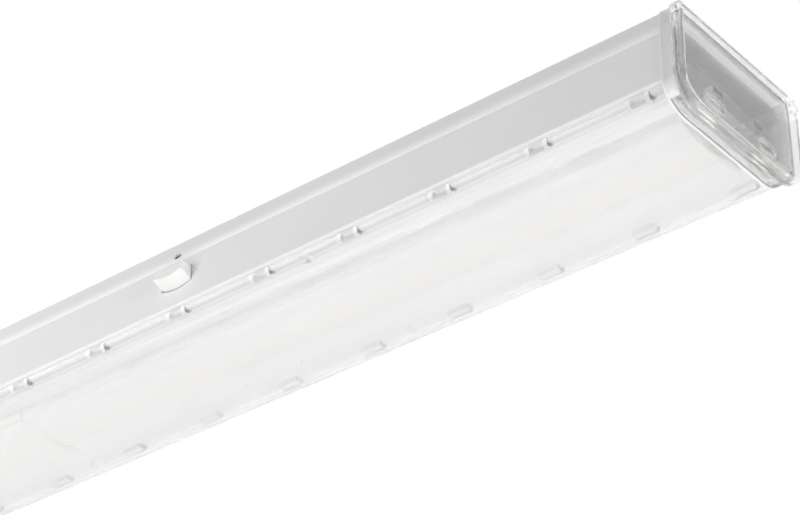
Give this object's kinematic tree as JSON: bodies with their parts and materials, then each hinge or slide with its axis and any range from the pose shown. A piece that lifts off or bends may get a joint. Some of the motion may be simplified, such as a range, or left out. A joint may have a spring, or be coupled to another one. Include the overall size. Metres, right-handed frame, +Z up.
{
  "type": "led linear light",
  "caption": "Ceiling-mounted linear LED light: folded white steel channel, clear clip-on cover and end caps, strip lenses over LED boards, and sprung side catches.",
  "frame": {"origin": "centre of the ceiling face, on the steel channel's back", "axes": "+X along the light, +Y across it, +Z up out of the ceiling face"},
  "size_m": [0.6, 0.0728, 0.0357],
  "materials": {
    "channel_paint": "white powder coat",
    "tray_paint": "white reflective powder coat",
    "clear_cover": "clear polycarbonate",
    "clear_cap": "clear moulded polycarbonate",
    "clear_lens": "clear acrylic",
    "seal_rubber": "soft white seal",
    "grommet_rubber": "grey rubber",
    "board_white": "white solder mask",
    "led_phosphor": "yellow phosphor in a white package",
    "catch_nylon": "white moulded nylon",
    "white_nylon": "off-white moulded nylon",
    "zinc_steel": "zinc-plated steel",
    "driver_white": "white moulded housing",
    "terminal_grey": "light grey moulding",
    "wire_brown": "brown insulation",
    "wire_blue": "blue insulation",
    "wire_earth": "green and yellow insulation",
    "wire_white": "white insulation"
  },
  "bodies": {
    "light_body": {"steel_channel": "channel_paint", "gear_tray": "tray_paint", "clear_cover": "clear_cover", "cable_grommet": "grommet_rubber", "board_link": "white_nylon", "rear_plug": "white_nylon", "board_rivets": "white_nylon", "guide_rivets": "tray_paint", "tray_screws": "tray_paint", "tray_studs": "zinc_steel", "tray_nuts": "zinc_steel", "driver_case": "driver_white", "driver_lid": "driver_white", "driver_mains_terminal": "terminal_grey", "driver_led_terminal": "terminal_grey", "terminal_block": "terminal_grey", "neutral_wire": "wire_blue", "live_wire": "wire_brown", "earth_wire": "wire_earth", "earth_lug": "zinc_steel", "led_wires": "wire_white", "led_board_left": "board_white", "led_chips_left": "led_phosphor", "lens_strip_left": "clear_lens", "end_seal_left": "seal_rubber", "end_cap_left": "clear_cap", "slot_cap_left": "grommet_rubber", "led_board_right": "board_white", "led_chips_right": "led_phosphor", "lens_strip_right": "clear_lens", "end_seal_right": "seal_rubber", "end_cap_right": "clear_cap", "slot_cap_right": "grommet_rubber", "catch_guide_front_left": "white_nylon", "catch_spring_front_left": "zinc_steel", "catch_guide_front_right": "white_nylon", "catch_spring_front_right": "zinc_steel", "catch_guide_back_left": "white_nylon", "catch_spring_back_left": "zinc_steel", "catch_guide_back_right": "white_nylon", "catch_spring_back_right": "zinc_steel"},
    "catch_front_left": {"catch_front_left": "catch_nylon"},
    "catch_front_right": {"catch_front_right": "catch_nylon"},
    "catch_back_left": {"catch_back_left": "catch_nylon"},
    "catch_back_right": {"catch_back_right": "catch_nylon"}
  },
  "joints": [
    {"name": "catch_front_left_slide", "type": "slide", "parent": "light_body", "child": "catch_front_left", "axis": [0, 1, 0], "range_m": [0, 0.0046], "stiffness_N_per_m": 400, "springref_m": -0.004, "deforming": ["catch_spring_front_left"]},
    {"name": "catch_front_right_slide", "type": "slide", "parent": "light_body", "child": "catch_front_right", "axis": [0, 1, 0], "range_m": [0, 0.0046], "stiffness_N_per_m": 400, "springref_m": -0.004, "deforming": ["catch_spring_front_right"]},
    {"name": "catch_back_left_slide", "type": "slide", "parent": "light_body", "child": "catch_back_left", "axis": [0, -1, 0], "range_m": [0, 0.0046], "stiffness_N_per_m": 400, "springref_m": -0.004, "deforming": ["catch_spring_back_left"]},
    {"name": "catch_back_right_slide", "type": "slide", "parent": "light_body", "child": "catch_back_right", "axis": [0, -1, 0], "range_m": [0, 0.0046], "stiffness_N_per_m": 400, "springref_m": -0.004, "deforming": ["catch_spring_back_right"]}
  ]
}
